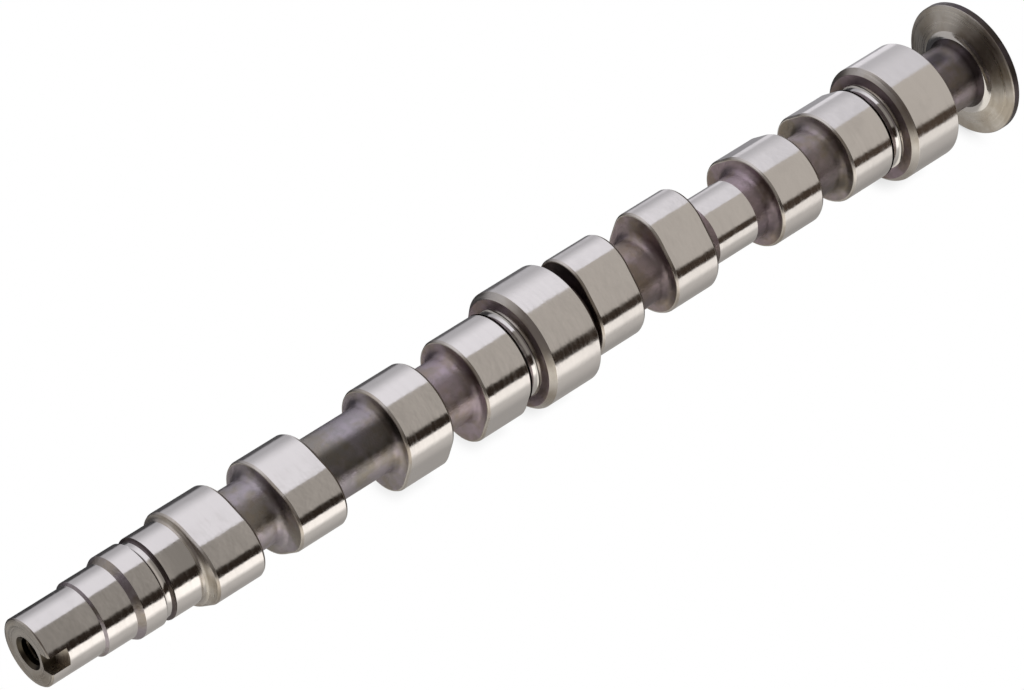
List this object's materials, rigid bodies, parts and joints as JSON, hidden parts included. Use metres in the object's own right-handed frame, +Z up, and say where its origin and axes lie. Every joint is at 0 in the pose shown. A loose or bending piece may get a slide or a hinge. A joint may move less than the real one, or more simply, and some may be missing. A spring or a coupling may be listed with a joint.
{
  "type": "camshaft",
  "caption": "One-piece camshaft: stepped nose with keyway and bolt hole, paired cams, two journals larger than the cams, round rear flange.",
  "frame": {"origin": "on the shaft's axis, at the middle of the middle journal's ground width", "axes": "+X along the axis from the nose to the flange, +Z up as the shaft lies"},
  "size_m": [0.4446, 0.053, 0.053],
  "materials": {
    "ground_steel": "ground and polished on seats, journals and cams, dark as-forged skin on the necks between them"
  },
  "bodies": {
    "root": {"camshaft": "ground_steel"}
  },
  "joints": []
}
